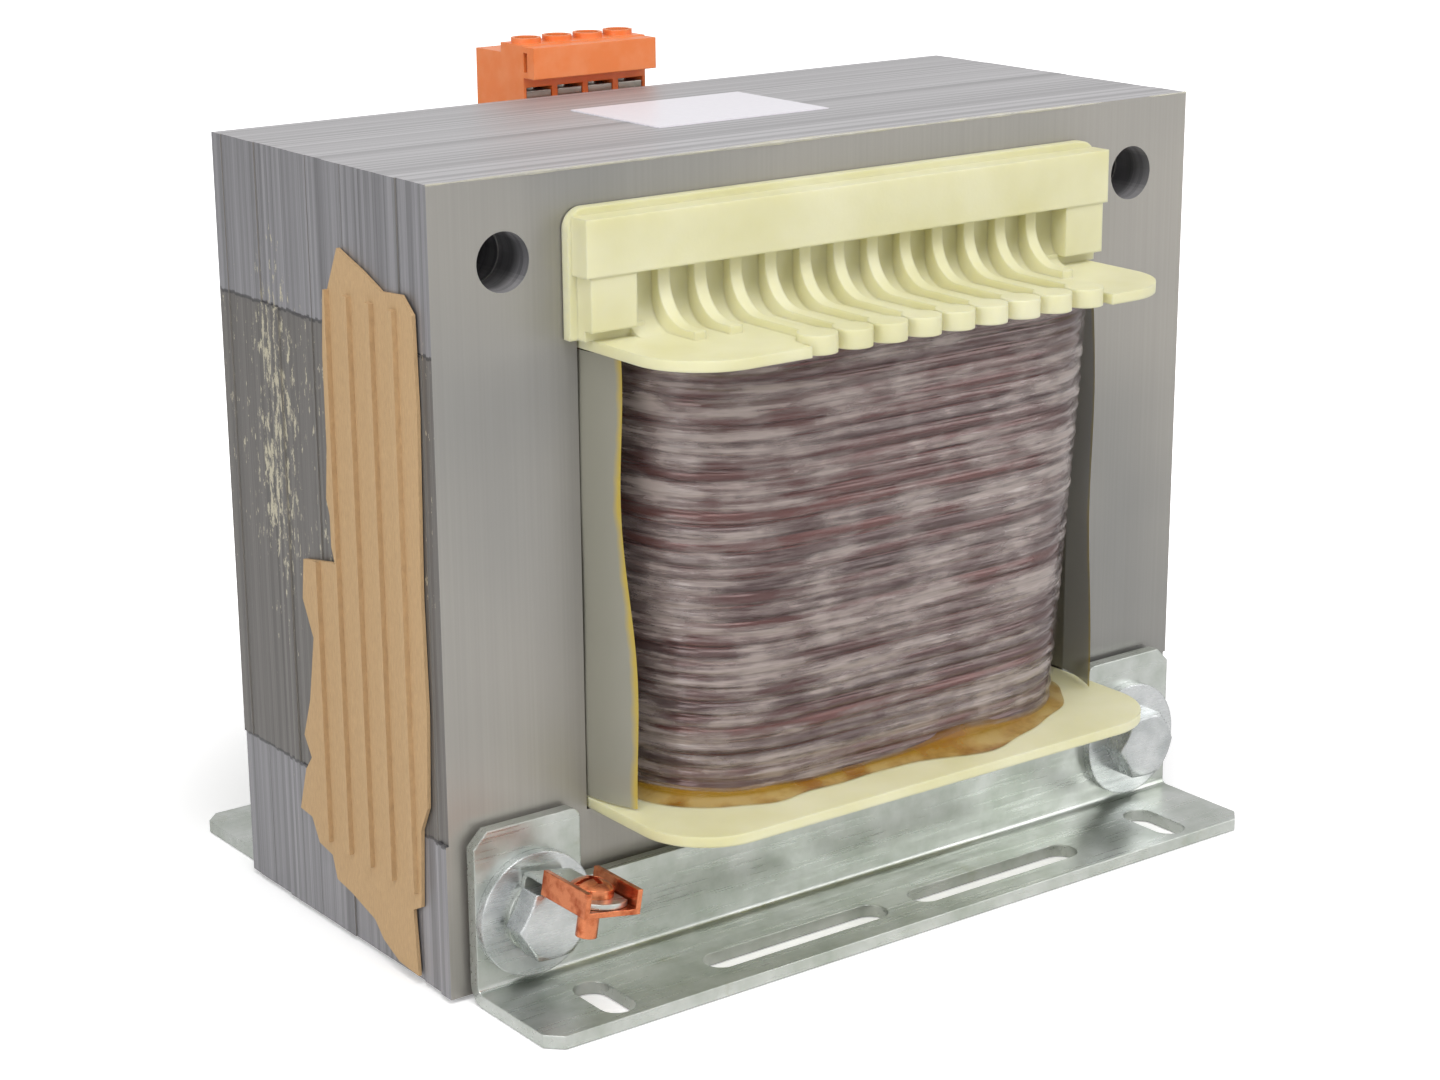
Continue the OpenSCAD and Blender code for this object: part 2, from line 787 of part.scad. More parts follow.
// The run of one lead: out from under the flange, up through a notch, back
// along the channel between two guides and up to its tag.
function lead_points(x_tag, x_channel) = [
  [x_channel, coil_y + tape_t + lead_d / 2 + 0.4, high_flange_z - 5],
  [x_channel, valley_y, high_flange_z - lead_d / 2 - 0.4],
  [x_channel, valley_y, lead_z],
  [x_channel, plate_y + 14, lead_z],
  [x_tag, tag_y + tag_t + lead_d / 2 + 0.2, guide_floor + 6],
  [x_tag, tag_y + tag_t + lead_d / 2 + 0.2, block_z0 - 0.6]
];

module rod_between(a, b, d) {
  v = b - a;
  translate(a) rotate([0, acos(v[2] / norm(v)), atan2(v[1], v[0])])
    cylinder(d = d, h = norm(v), $fn = 20);
}

module lead_wires() {
  color("#b5552f") for (i = [0 : poles - 1]) {
    x_channel = (i < poles / 2 ? floor(pole_x(i) / guide_pitch) : ceil(pole_x(i) / guide_pitch))
      * guide_pitch;
    p = lead_points(pole_x(i), x_channel);
    for (k = [0 : len(p) - 2]) rod_between(p[k], p[k + 1], lead_d);
    for (k = [1 : len(p) - 2]) translate(p[k]) sphere(d = lead_d + 0.2, $fn = 20);
  }
}

// ---------- label and dirt ----------

module blank_label() {
  color("#e9e7ea") translate([-22, -11.3, core_top]) cube([label_l, label_w, label_t]);
}

// The torn outline, in Y and Z above the core's underside, going round from
// the top. The flutes stand on it as low ridges.
module torn_outline() {
  polygon([
    [-9, 135], [-18, 132], [-24, 129.5], [-31, 130], [-34.5, 127], [-35, 110], [-34, 76],
    [-34.5, 54], [-33.5, 36], [-31, 31], [-30, 15.5], [-27, 14], [-28, 1], [-21, 1.5],
    [-15.5, 4], [-12.5, 7], [-4, 9.5], [1.5, 10.5], [3, 15], [8, 16], [10.5, 20.5],
    [15, 21], [12, 30], [9.5, 33], [12, 37], [9, 45], [6.5, 58], [10, 65], [9, 73],
    [-5, 75.5], [-1, 87], [-3.5, 110], [-5, 127]
  ]);
}

module cardboard_remnant() {
  ridge_t = 1;
  x0 = -core_w / 2 - stagger - 0.1;
  color("#b3946a") translate([x0 - card_t, 0, core_lift]) {
    along_x(0, card_t) torn_outline();
    along_x(-ridge_t, ridge_t + card_t / 2) intersection() {
      torn_outline();
      for (i = [0 : 4]) translate([-29.2 + i * flute_pitch, 18]) square([1.6, 109]);
    }
  }
}

e_laminations_up();
e_laminations_down();
i_laminations_top();
i_laminations_bottom();
former_tube();
upper_flange();
lower_flange();
inner_winding();
interwinding_insulation();
outer_winding();
outer_tape();
window_films();
front_bracket();
rear_bracket();
clamping_bolts();
clamping_nuts();
spring_washers();
front_washers();
rear_washers();
insulating_washers();
bolt_sleeves();
earth_tab();
earth_clamp();
earth_screw();
terminal_housing();
terminal_cages();
terminal_screws();
terminal_tags();
lead_wires();
blank_label();
cardboard_remnant();
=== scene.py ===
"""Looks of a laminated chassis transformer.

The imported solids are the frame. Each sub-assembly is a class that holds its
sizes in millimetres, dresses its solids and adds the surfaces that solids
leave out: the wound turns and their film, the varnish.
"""

from __future__ import annotations

import logging
import math
from dataclasses import dataclass
from enum import Enum
from typing import Sequence

import bpy
import numpy as np
from mathutils import Matrix

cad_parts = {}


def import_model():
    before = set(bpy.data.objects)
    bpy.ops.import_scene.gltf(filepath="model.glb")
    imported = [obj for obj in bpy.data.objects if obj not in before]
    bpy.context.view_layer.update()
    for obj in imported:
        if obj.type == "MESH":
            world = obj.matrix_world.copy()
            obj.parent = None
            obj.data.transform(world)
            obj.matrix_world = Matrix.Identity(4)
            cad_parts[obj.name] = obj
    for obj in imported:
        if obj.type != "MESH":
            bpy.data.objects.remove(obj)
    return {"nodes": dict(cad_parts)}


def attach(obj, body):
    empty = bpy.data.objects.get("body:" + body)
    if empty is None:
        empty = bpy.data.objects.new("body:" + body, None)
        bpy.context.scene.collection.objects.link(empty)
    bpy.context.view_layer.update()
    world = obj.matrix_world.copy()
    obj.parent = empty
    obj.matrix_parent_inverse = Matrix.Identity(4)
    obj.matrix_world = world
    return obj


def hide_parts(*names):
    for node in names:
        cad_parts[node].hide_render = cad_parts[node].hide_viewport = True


LOG = logging.getLogger("transformer")
MM = 0.001
Socket = bpy.types.NodeSocket


# --------------------------------------------------------------------------
# Colour, nodes and meshes
# --------------------------------------------------------------------------


def linear(code: str, alpha: float = 1.0) -> tuple[float, float, float, float]:
    """Turns an sRGB hex colour to linear light.

    Args:
        code: a colour such as "#8d8a83".
        alpha: its opacity.

    Returns:
        Linear red, green, blue and alpha.
    """
    parts = [int(code[i : i + 2], 16) / 255 for i in (1, 3, 5)]
    low = [c / 12.92 if c <= 0.04045 else ((c + 0.055) / 1.055) ** 2.4 for c in parts]
    return (low[0], low[1], low[2], alpha)


class Recipe:
    """One material being mixed: its tree, its shader and its place in mm."""

    def __init__(self, name: str) -> None:
        """Starts a material with a Principled shader.

        Args:
            name: the material's name.
        """
        self.material = bpy.data.materials.new(name)
        self.material.use_nodes = True
        self.tree = self.material.node_tree
        self.tree.nodes.clear()
        self.shader = self.tree.nodes.new("ShaderNodeBsdfPrincipled")
        out = self.tree.nodes.new("ShaderNodeOutputMaterial")
        self.tree.links.new(self.shader.outputs[0], out.inputs["Surface"])
        place = self.add("TexCoord", {}, out="Object")
        self.mm = self.add("VectorMath", {0: place, "Scale": 1000.0}, operation="SCALE")

    def add(self, kind: str, sockets: dict, out: int | str = 0, **settings: object) -> Socket:
        """Adds a shader node with its settings and links.

        Args:
            kind: the node's type without its ShaderNode prefix.
            sockets: input name or index to a value or to a socket to link.
            out: which output to return.
            **settings: properties to set on the node.

        Returns:
            The chosen output.
        """
        node = self.tree.nodes.new("ShaderNode" + kind)
        for key, value in settings.items():
            setattr(node, key, value)
        self.feed(node, sockets)
        return node.outputs[out]

    def feed(self, node: bpy.types.Node, sockets: dict) -> None:
        """Sets or links a node's inputs.

        Args:
            node: the node to feed.
            sockets: input name or index to a value or a socket.
        """
        for key, value in sockets.items():
            if isinstance(value, Socket):
                self.tree.links.new(value, node.inputs[key])
            else:
                node.inputs[key].default_value = value

    def finish(self, sockets: dict) -> bpy.types.Material:
        """Feeds the shader and hands the material over.

        Args:
            sockets: the shader's inputs.

        Returns:
            The finished material.
        """
        self.feed(self.shader, sockets)
        return self.material


def surface(
    name: str,
    points: np.ndarray,
    material: bpy.types.Material,
    around: bool = False,
    run: np.ndarray | None = None,
    keep: np.ndarray | None = None,
    smooth: bool = True,
) -> bpy.types.Object:
    """Makes a piece from a grid of points.

    A face joins each point to its neighbours along both parameters; around
    closes the second one on itself.

    Args:
        name: the piece's name.
        points: rows by columns by 3, in millimetres.
        material: its finish.
        around: whether the last column joins the first.
        run: rows by columns by 3 values kept in the attribute "run".
        keep: which faces to keep, rows - 1 by columns (or columns - 1).
        smooth: whether it is shaded smooth.

    Returns:
        The new object, riding on the root body.
    """
    rows, cols = points.shape[:2]
    index = np.arange(rows * cols).reshape(rows, cols)
    right = np.roll(index, -1, axis=1)
    if not around:
        index, right = index[:, :-1], right[:, :-1]
    quads = np.stack([index[:-1], right[:-1], right[1:], index[1:]], axis=-1)
    quads = quads[keep] if keep is not None else quads.reshape(-1, 4)
    used, faces = np.unique(quads, return_inverse=True)
    faces = faces.reshape(quads.shape)
    mesh = bpy.data.meshes.new(name)
    mesh.vertices.add(len(used))
    mesh.vertices.foreach_set("co", (points.reshape(-1, 3)[used] * MM).ravel())
    mesh.loops.add(faces.size)
    mesh.loops.foreach_set("vertex_index", faces.ravel())
    mesh.polygons.add(len(faces))
    mesh.polygons.foreach_set("loop_start", np.arange(len(faces)) * 4)
    mesh.polygons.foreach_set("use_smooth", np.full(len(faces), smooth))
    mesh.update(calc_edges=True)
    mesh.validate()
    if run is not None:
        layer = mesh.attributes.new("run", "FLOAT_VECTOR", "POINT")
        layer.data.foreach_set("vector", run.reshape(-1, 3)[used].astype(np.float32).ravel())
    mesh.materials.append(material)
    piece = bpy.data.objects.new(name, mesh)
    bpy.context.scene.collection.objects.link(piece)
    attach(piece, "root")
    LOG.info("%s: %d faces", name, len(faces))
    return piece


def swell(u: np.ndarray, v: np.ndarray, seed: float, octaves: int = 4) -> np.ndarray:
    """A smooth, uneven field with values from about -1 to 1.

    It is a sum of sines whose frequencies and turns never line up: each
    octave is 1.9 times finer and 0.6 times as strong as the one before.

    Args:
        u: first coordinate.
        v: second coordinate.
        seed: shifts the field.
        octaves: how many sines of each kind.

    Returns:
        The field at each point.
    """
    total = np.zeros(np.broadcast(u, v).shape)
    for k in range(octaves):
        f, w = 1.9**k, 0.6**k
        turn = seed * 1.7 + k * 2.4
        a = math.cos(turn) * u + math.sin(turn) * v
        b = math.cos(turn + 1.9) * u - math.sin(turn + 1.3) * v
        total += w * np.sin(f * a + seed * 5.1 + k) * np.cos(f * 0.83 * b + seed * 2.3)
    return total


def dress(material: bpy.types.Material, nodes: Sequence[str]) -> None:
    """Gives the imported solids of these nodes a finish.

    Args:
        material: the finish.
        nodes: the nodes' names.
    """
    for name in nodes:
        piece = FRAME["nodes"][name]
        for slot in piece.material_slots:
            slot.material = material
        LOG.info("%s wears %s", name, material.name)


# --------------------------------------------------------------------------
# Finishes
# --------------------------------------------------------------------------


@dataclass(frozen=True)
class RolledElectricalSteel:
    """Silicon steel laminations, rolled, punched and dipped in thin varnish.

    The sheet's face is smooth and satin with a warm grey; the stack's cut
    edges are finely lined, one line for each sheet or pair of sheets.
    """

    face_light: str = "#a29e97"
    face_dark: str = "#8a8986"
    edge_yoke: str = "#8c8b8e"
    edge_leg: str = "#716e6b"
    seam: str = "#3c3b3d"
    glue: str = "#c2bba4"
    line_mm: float = 1.0  # twice the sheet of half a millimetre, so it shows

    def make(self) -> bpy.types.Material:
        """Mixes the finish, with edges and faces told apart by the normal."""
        r = Recipe("rolled_electrical_steel")
        place = r.add("SeparateXYZ", {0: r.mm})
        x, y, z = (place.node.outputs[i] for i in range(3))
        normal = r.add("SeparateXYZ", {0: r.add("NewGeometry", {}, out="True Normal")})
        ny = r.add("Math", {0: normal.node.outputs[1]}, operation="ABSOLUTE")
        nz = r.add("Math", {0: normal.node.outputs[2]}, operation="ABSOLUTE")
        face = r.add("MapRange", {"Value": ny, 1: 0.5, 2: 0.8})
        # how much a surface faces up, for the painted highlight on the top
        top = r.add("MapRange", {"Value": nz, 1: 0.5, 2: 0.8})
        # one tone for each sheet, a slower one for groups of sheets
        sheet = r.add("Math", {0: y, 1: self.line_mm}, operation="DIVIDE")
        number = r.add("Math", {0: sheet}, operation="FLOOR")
        tone = r.add("TexWhiteNoise", {"W": number}, out="Value", noise_dimensions="1D")
        group = r.add("TexNoise", {"W": y, "Scale": 0.35, "Detail": 3.0}, noise_dimensions="1D")
        along = r.add(
            "TexNoise",
            {"Vector": r.add("VectorMath", {0: r.mm, 1: (0.02, 2.2, 0.02)}, operation="MULTIPLY"),
             "Scale": 1.0, "Detail": 4.0, "Roughness": 0.7})
        lines = r.add("Math", {0: tone, 1: 0.45, 2: along}, operation="MULTIPLY_ADD")
        lines = r.add("Math", {0: lines, 1: group}, operation="ADD")
        lines = r.add("MapRange", {"Value": lines, 1: 0.75, 2: 1.65, 3: 0.62, 4: 1.3})
        # legs are darker than the yokes, which took more varnish
        low = r.add("MapRange", {"Value": z, 1: 30.6, 2: 31.0})
        high = r.add("MapRange", {"Value": z, 1: 121.0, 2: 120.6})
        leg = r.add("Math", {0: low, 1: high}, operation="MULTIPLY")
        edge = r.add("Mix", {0: leg, 6: linear(self.edge_yoke), 7: linear(self.edge_leg)},
                     out=2, data_type="RGBA")
        # painted highlight: edges that face up are mixed to a lighter grey, as the top of the
        # stack catches the light
        edge = r.add("Mix", {0: top, 6: edge, 7: linear("#aeacae")}, out=2, data_type="RGBA")
        edge = r.add("VectorMath", {0: edge, "Scale": lines}, operation="SCALE")
        # the butt joints between E and I show as dark broken lines
        joint = self._joint(r, z, tone)
        edge = r.add("Mix", {0: joint, 6: edge, 7: linear(self.seam)}, out=2, data_type="RGBA")
        # flecks of old glue down the left side
        fleck = self._flecks(r, x, y, z)
        edge = r.add("Mix", {0: fleck, 6: edge, 7: linear(self.glue)}, out=2, data_type="RGBA")
        # the faces: a slow change of tone and faint upright rolling lines
        cloud = r.add("TexNoise", {"Vector": r.mm, "Scale": 0.012, "Detail": 2.0})
        rolled = r.add(
            "TexNoise",
            {"Vector": r.add("VectorMath", {0: r.mm, 1: (1.6, 0.2, 0.012)}, operation="MULTIPLY"),
             "Scale": 1.0, "Detail": 3.0})
        shade = r.add("MapRange", {"Value": cloud, 1: 0.35, 2: 0.65})
        flat = r.add("Mix", {0: shade, 6: linear(self.face_light), 7: linear(self.face_dark)},
                     out=2, data_type="RGBA")
        faint = r.add("MapRange", {"Value": rolled, 1: 0.3, 2: 0.7, 3: 0.97, 4: 1.03})
        flat = r.add("VectorMath", {0: flat, "Scale": faint}, operation="SCALE")
        colour = r.add("Mix", {0: face, 6: edge, 7: flat}, out=2, data_type="RGBA")
        rough = r.add("Mix", {0: face, 2: 0.42, 3: 0.38}, data_type="FLOAT")
        relief = r.add("Mix", {0: face, 2: lines, 3: 1.0}, data_type="FLOAT")
        bump = r.add("Bump", {"Height": relief, "Strength": 0.5, "Distance": 0.0001})
        return r.finish({"Base Color": colour, "Metallic": 0.55, "Roughness": rough,
                         "Normal": bump})

    def _joint(self, r: Recipe, z: Socket, tone: Socket) -> Socket:
        """A dark line half a millimetre high where an I bar meets its E.

        Args:
            r: the recipe.
            z: height in mm.
            tone: a number for each sheet, which shifts its line a little.

        Returns:
            How dark the joint is, 0 to 1.
        """
        shifted = r.add("Math", {0: tone, 1: 0.5, 2: z}, operation="MULTIPLY_ADD")
        lines = []
        for height in (121.0, 31.0):
            away = r.add("Math", {0: shifted, 1: height}, operation="SUBTRACT")
            away = r.add("Math", {0: away}, operation="ABSOLUTE")
            lines.append(r.add("MapRange", {"Value": away, 1: 0.45, 2: 0.2, 3: 0.0, 4: 0.75}))
        return r.add("Math", {0: lines[0], 1: lines[1]}, operation="MAXIMUM")

    def _flecks(self, r: Recipe, x: Socket, y: Socket, z: Socket) -> Socket:
        """Upright scraps of glue in the patch that the cardboard tore off.

        Args:
            r: the recipe.
            x: place across, in mm.
            y: place from front to back, in mm.
            z: height in mm.

        Returns:
            Where glue lies, 0 to 1.
        """
        stretched = r.add("VectorMath", {0: r.mm, 1: (1.0, 0.55, 0.16)}, operation="MULTIPLY")
        scraps = r.add("TexNoise", {"Vector": stretched, "Scale": 1.6, "Detail": 5.0,
                                    "Roughness": 0.75})
        patch = r.add("TexNoise", {"Vector": r.mm, "Scale": 0.07, "Detail": 1.0})
        depth = r.add("Math", {0: y, 1: 18.5}, operation="SUBTRACT")
        depth = r.add("Math", {0: depth}, operation="ABSOLUTE")
        depth = r.add("MapRange", {"Value": depth, 1: 11.0, 2: 3.0, 3: 0.0, 4: 0.09})
        height = r.add("Math", {0: z, 1: 96.0}, operation="SUBTRACT")
        height = r.add("Math", {0: height}, operation="ABSOLUTE")
        height = r.add("MapRange", {"Value": height, 1: 44.0, 2: 20.0, 3: -0.12, 4: 0.03})
        left = r.add("MapRange", {"Value": x, 1: -88.0, 2: -89.0, 3: -1.0, 4: 0.0})
        total = r.add("Math", {0: scraps, 1: depth}, operation="ADD")
        total = r.add("Math", {0: total, 1: height}, operation="ADD")
        total = r.add("Math", {0: total, 1: left}, operation="ADD")
        total = r.add("Math", {0: patch, 1: 0.12, 2: total}, operation="MULTIPLY_ADD")
        return r.add("MapRange", {"Value": total, 1: 0.7, 2: 0.74})


@dataclass(frozen=True)
class NaturalNylon:
    """Unfilled nylon 6 as moulded: pale yellow-green, waxy, a little clear."""

    body: str = "#dad7b6"
    deep: str = "#cfcb9f"
    roughness: float = 0.42

    def make(self) -> bpy.types.Material:
        """Mixes the finish, with slow clouds and light let into the wall."""
        r = Recipe("natural_nylon")
        cloud = r.add("TexNoise", {"Vector": r.mm, "Scale": 0.05, "Detail": 3.0})
        mix = r.add("MapRange", {"Value": cloud, 1: 0.35, 2: 0.7})
        colour = r.add("Mix", {0: mix, 6: linear(self.body), 7: linear(self.deep)},
                       out=2, data_type="RGBA")
        grain = r.add("TexNoise", {"Vector": r.mm, "Scale": 1.2, "Detail": 2.0})
        bump = r.add("Bump", {"Height": grain, "Strength": 0.12, "Distance": 0.0002})
        soft = r.add("Bevel", {"Radius": 0.0006, "Normal": bump}, samples=4)
        return r.finish({"Base Color": colour, "Roughness": self.roughness, "IOR": 1.53,
                         "Subsurface Weight": 0.35, "Subsurface Scale": 0.004,
                         "Subsurface Radius": (1.0, 0.9, 0.45), "Normal": soft})


@dataclass(frozen=True)
class EnamelledCopperWire:
    """Round copper wire in clear red-brown polyester enamel, varnished."""

    wire: str = "#5d2b24"
    shade: str = "#3a201f"
    # a brighter red, painted on the turns' flanks as a glow
    red: str = "#8e2a20"

    def make(self) -> bpy.types.Material:
        """Mixes the finish: each turn has its own tone; a painted red glow lies on its flanks in
        patches.
        """
        r = Recipe("enamelled_copper_wire")
        run = r.add("Attribute", {}, out="Vector", attribute_name="run")
        parts = r.add("SeparateXYZ", {0: run})
        turn = r.add("Math", {0: parts.node.outputs[1]}, operation="FLOOR")
        tone = r.add("TexWhiteNoise", {"W": turn}, out="Value", noise_dimensions="1D")
        colour = r.add("Mix", {0: tone, 6: linear(self.wire), 7: linear(self.shade)},
                       out=2, data_type="RGBA")
        stretched = r.add("VectorMath", {0: run, 1: (0.05, 0.9, 1.0)}, operation="MULTIPLY")
        patch = r.add("TexNoise", {"Vector": stretched, "Scale": 1.0, "Detail": 3.0})
        # painted glow: in patches the flanks of each turn, where it dips towards the next, are
        # mixed to a brighter red
        painted_flank_glow = r.add("MapRange", {"Value": parts.node.outputs[2], 1: -0.35, 2: -1.0})
        painted_flank_glow = r.add("Math", {0: painted_flank_glow, 1: patch}, operation="MULTIPLY")
        painted_flank_glow = r.add("MapRange", {"Value": painted_flank_glow, 1: 0.2, 2: 0.55})
        colour = r.add("Mix", {0: painted_flank_glow, 6: colour, 7: linear(self.red)}, out=2,
                       data_type="RGBA")
        return r.finish({"Base Color": colour, "Metallic": 0.35, "Roughness": 0.22,
                         "Coat Weight": 0.5, "Coat Roughness": 0.12})


@dataclass(frozen=True)
class PolyesterFilm:
    """Clear polyester film over the turns, varnished and full of air pockets.

    Where varnish wets it the wire shows through; where air is trapped it is
    milky and grey.
    """

    milk: str = "#a79a94"
    clear: str = "#8b7c7b"

    def make(self) -> bpy.types.Material:
        """Mixes the finish from bands and pockets that follow the turns."""
        r = Recipe("polyester_film")
        run = r.add("Attribute", {}, out="Vector", attribute_name="run")
        streak = r.add("VectorMath", {0: run, 1: (0.022, 0.42, 1.0)}, operation="MULTIPLY")
        bands = r.add("TexNoise", {"Vector": streak, "Scale": 1.0, "Detail": 5.0,
                                   "Roughness": 0.62})
        blocks = r.add("VectorMath", {0: run, 1: (0.09, 0.17, 1.0)}, operation="MULTIPLY")
        pockets = r.add("TexNoise", {"Vector": blocks, "Scale": 1.0, "Detail": 3.0})
        mix = r.add("Math", {0: pockets, 1: 0.8, 2: bands}, operation="MULTIPLY_ADD")
        milky = r.add("MapRange", {"Value": mix, 1: 0.78, 2: 1.08})
        colour = r.add("Mix", {0: milky, 6: linear(self.clear), 7: linear(self.milk)},
                       out=2, data_type="RGBA")
        alpha = r.add("MapRange", {"Value": milky, 3: 0.16, 4: 0.82})
        ripple = r.add("VectorMath", {0: run, 1: (0.12, 1.6, 1.0)}, operation="MULTIPLY")
        ripple = r.add("TexNoise", {"Vector": ripple, "Scale": 1.0, "Detail": 2.0})
        bump = r.add("Bump", {"Height": ripple, "Strength": 0.6, "Distance": 0.0006})
        return r.finish({"Base Color": colour, "Roughness": 0.16, "IOR": 1.58,
                         "Alpha": alpha, "Normal": bump})


@dataclass(frozen=True)
class FrostedFilm:
    """Thick polyester slot liner, frosted, greenish grey where it stands free."""

    body: str = "#8f8d80"
    varnish: str = "#b79f3e"

    def make(self) -> bpy.types.Material:
        """Mixes the finish, with yellow varnish along the free edge."""
        r = Recipe("frosted_film")
        run = r.add("Attribute", {}, out="Vector", attribute_name="run")
        parts = r.add("SeparateXYZ", {0: run})
        uneven = r.add("TexNoise", {"Vector": r.mm, "Scale": 0.12, "Detail": 3.0})
        edge = r.add("Math", {0: uneven, 1: 2.2, 2: parts.node.outputs[0]},
                     operation="MULTIPLY_ADD")
        edge = r.add("MapRange", {"Value": edge, 1: 2.6, 2: 1.4})
        colour = r.add("Mix", {0: edge, 6: linear(self.body), 7: linear(self.varnish)},
                       out=2, data_type="RGBA")
        return r.finish({"Base Color": colour, "Roughness": 0.34, "IOR": 1.58, "Alpha": 0.86})


@dataclass(frozen=True)
class ImpregnatingVarnish:
    """Oven-dried alkyd impregnating varnish: amber, glassy, clear when thin."""

    body: str = "#b98c22"
    deep: str = "#8a5a10"

    def make(self) -> bpy.types.Material:
        """Mixes the finish, deeper where it lies thick."""
        r = Recipe("impregnating_varnish")
        cloud = r.add("TexNoise", {"Vector": r.mm, "Scale": 0.16, "Detail": 3.0})
        mix = r.add("MapRange", {"Value": cloud, 1: 0.4, 2: 0.68})
        colour = r.add("Mix", {0: mix, 6: linear(self.body), 7: linear(self.deep)},
                       out=2, data_type="RGBA")
        alpha = r.add("MapRange", {"Value": mix, 3: 0.5, 4: 0.86})
        return r.finish({"Base Color": colour, "Roughness": 0.1, "IOR": 1.52,
                         "Alpha": alpha, "Coat Weight": 0.6, "Coat Roughness": 0.05})


@dataclass(frozen=True)
class PassivatedZinc:
    """Bright electroplated zinc with a thin clear-blue passivate."""

    name: str
    light: str = "#c6c9c5"
    dull: str = "#a9afa6"
    stain: str = "#97967a"
    stained: float = 0.5
    roughness: float = 0.3
    bevel: float = 0.0004

    def make(self) -> bpy.types.Material:
        """Mixes the finish: mottled plate, faint drawing lines, some stains."""
        r = Recipe(self.name)
        mottle = r.add("TexNoise", {"Vector": r.mm, "Scale": 0.11, "Detail": 5.0,
                                    "Roughness": 0.6})
        mix = r.add("MapRange", {"Value": mottle, 1: 0.35, 2: 0.7})
        colour = r.add("Mix", {0: mix, 6: linear(self.light), 7: linear(self.dull)},
                       out=2, data_type="RGBA")
        blot = r.add("TexNoise", {"Vector": r.mm, "Scale": 0.05, "Detail": 6.0,
                                  "Roughness": 0.7})
        blot = r.add("MapRange", {"Value": blot, 1: 0.62, 2: 0.72, 3: 0.0, 4: self.stained})
        colour = r.add("Mix", {0: blot, 6: colour, 7: linear(self.stain)}, out=2,
                       data_type="RGBA")
        drawn = r.add("VectorMath", {0: r.mm, 1: (0.05, 1.5, 1.5)}, operation="MULTIPLY")
        drawn = r.add("TexNoise", {"Vector": drawn, "Scale": 1.0, "Detail": 3.0})
        rough = r.add("MapRange", {"Value": drawn, 1: 0.3, 2: 0.7,
                                   3: self.roughness - 0.06, 4: self.roughness + 0.1})
        bump = r.add("Bump", {"Height": drawn, "Strength": 0.15, "Distance": 0.0001})
        soft = r.add("Bevel", {"Radius": self.bevel, "Normal": bump}, samples=4)
        return r.finish({"Base Color": colour, "Metallic": 0.9, "Roughness": rough,
                         "Normal": soft})


@dataclass(frozen=True)
class CopperPlate:
    """Bright copper plate on pressed and turned steel."""

    body: str = "#d8855c"
    dark: str = "#a8512f"

    def make(self) -> bpy.types.Material:
        """Mixes the finish, darker in patches where it has tarnished."""
        r = Recipe("copper_plate")
        tarnish = r.add("TexNoise", {"Vector": r.mm, "Scale": 0.5, "Detail": 4.0})
        mix = r.add("MapRange", {"Value": tarnish, 1: 0.45, 2: 0.7})
        colour = r.add("Mix", {0: mix, 6: linear(self.body), 7: linear(self.dark)},
                       out=2, data_type="RGBA")
        soft = r.add("Bevel", {"Radius": 0.00025}, samples=4)
        return r.finish({"Base Color": colour, "Metallic": 0.95, "Roughness": 0.26,
                         "Normal": soft})


@dataclass(frozen=True)
class MouldedPolyamide:
    """Moulded polyamide in solid orange, with a fine satin tool finish."""

    body: str = "#e57c3c"
    # a lighter orange, painted in clouds as sheen
    edge: str = "#f0a274"

    def make(self) -> bpy.types.Material:
        """Mixes the finish, with clouds of a lighter orange that are a painted sheen."""
        r = Recipe("moulded_polyamide")
        cloud = r.add("TexNoise", {"Vector": r.mm, "Scale": 0.25, "Detail": 3.0})
        mix = r.add("MapRange", {"Value": cloud, 1: 0.4, 2: 0.8, 3: 0.0, 4: 0.35})
        # painted sheen: clouds of the lighter orange stand for uneven gloss
        colour = r.add("Mix", {0: mix, 6: linear(self.body), 7: linear(self.edge)},
                       out=2, data_type="RGBA")
        soft = r.add("Bevel", {"Radius": 0.0003}, samples=4)
        return r.finish({"Base Color": colour, "Roughness": 0.38, "IOR": 1.53,
                         "Subsurface Weight": 0.1, "Subsurface Scale": 0.002,
                         "Subsurface Radius": (1.0, 0.4, 0.15), "Normal": soft})


class Board(Enum):
    """The kinds of paper and board on the transformer."""

    LABEL = ("blank_label_paper", "#e6e3e8", "#dcd9e0", 0.35, 0.6)
    PRESSBOARD = ("pressboard", "#6d4a2e", "#523420", 0.6, 0.8)
    KRAFT = ("varnished_kraft_paper", "#cbb98a", "#b9a473", 0.5, 0.7)


@dataclass(frozen=True)
class PaperBoard:
    """Paper or board, calendered or pressed, with a felted tone."""

    kind: Board

    def make(self) -> bpy.types.Material:
        """Mixes the finish from its two tones."""
        name, light, dark, gloss, _ = self.kind.value
        r = Recipe(name)
        felt = r.add("TexNoise", {"Vector": r.mm, "Scale": 0.8, "Detail": 5.0})
        colour = r.add("Mix", {0: felt, 6: linear(light), 7: linear(dark)}, out=2,
                       data_type="RGBA")
        return r.finish({"Base Color": colour, "Roughness": gloss})


